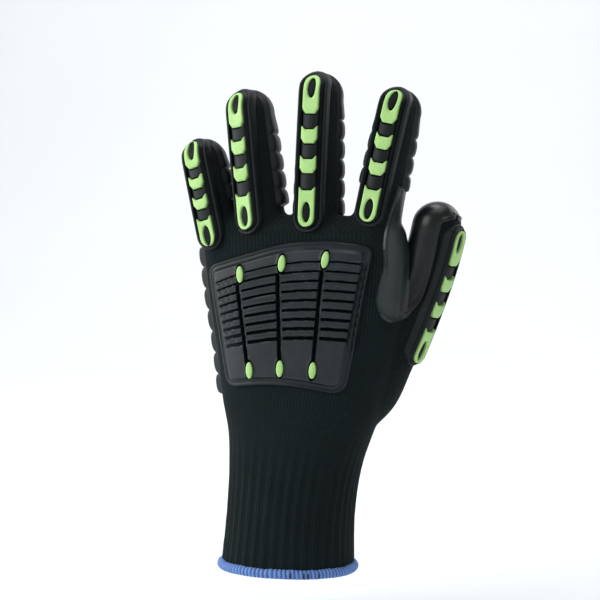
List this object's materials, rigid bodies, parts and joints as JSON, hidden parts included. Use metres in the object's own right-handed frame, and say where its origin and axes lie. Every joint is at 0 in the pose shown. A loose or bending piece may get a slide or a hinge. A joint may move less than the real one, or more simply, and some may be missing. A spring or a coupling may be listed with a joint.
{
  "type": "anti-vibration work glove",
  "caption": "Knitted work glove for the left hand with a moulded knuckle plate, finger guards, damping blocks on the palm side and an extended ribbed cuff.",
  "frame": {"origin": "middle of the cuff's opening, where the wrist goes in", "axes": "+Z along the forearm to the fingertips, -Y out of the back of the hand, +X to the thumb"},
  "size_m": [0.1543, 0.06, 0.2657],
  "materials": {
    "knit": "matt black fine knit",
    "hem_yarn": "blue overlock yarn",
    "moulded_rubber": "satin dark grey moulded rubber",
    "lime_insert": "satin lime green moulded rubber",
    "coating": "matt dark grey foamed rubber coating"
  },
  "bodies": {
    "root": {"knit_cuff": "knit", "knit_palm": "knit", "cuff_hem": "hem_yarn", "knuckle_plate": "moulded_rubber", "knuckle_stud_1": "lime_insert", "knuckle_stud_2": "lime_insert", "knuckle_stud_3": "lime_insert", "knuckle_stud_4": "lime_insert", "knuckle_stud_5": "lime_insert", "knuckle_stud_6": "lime_insert", "knit_little": "knit", "guard_little": "moulded_rubber", "insert_little_tip": "lime_insert", "insert_little_upper": "lime_insert", "insert_little_lower": "lime_insert", "insert_little_base": "lime_insert", "coat_little": "coating", "knit_ring": "knit", "guard_ring": "moulded_rubber", "insert_ring_tip": "lime_insert", "insert_ring_upper": "lime_insert", "insert_ring_lower": "lime_insert", "insert_ring_base": "lime_insert", "coat_ring": "coating", "knit_middle": "knit", "guard_middle": "moulded_rubber", "insert_middle_tip": "lime_insert", "insert_middle_upper": "lime_insert", "insert_middle_lower": "lime_insert", "insert_middle_base": "lime_insert", "coat_middle": "coating", "knit_index": "knit", "guard_index": "moulded_rubber", "insert_index_tip": "lime_insert", "insert_index_upper": "lime_insert", "insert_index_lower": "lime_insert", "insert_index_base": "lime_insert", "coat_index": "coating", "knit_thumb": "knit", "guard_thumb": "moulded_rubber", "insert_thumb_tip": "lime_insert", "insert_thumb_upper": "lime_insert", "insert_thumb_lower": "lime_insert", "insert_thumb_base": "lime_insert", "coat_thumb": "coating", "coat_palm": "coating", "coat_web": "coating"}
  },
  "joints": []
}
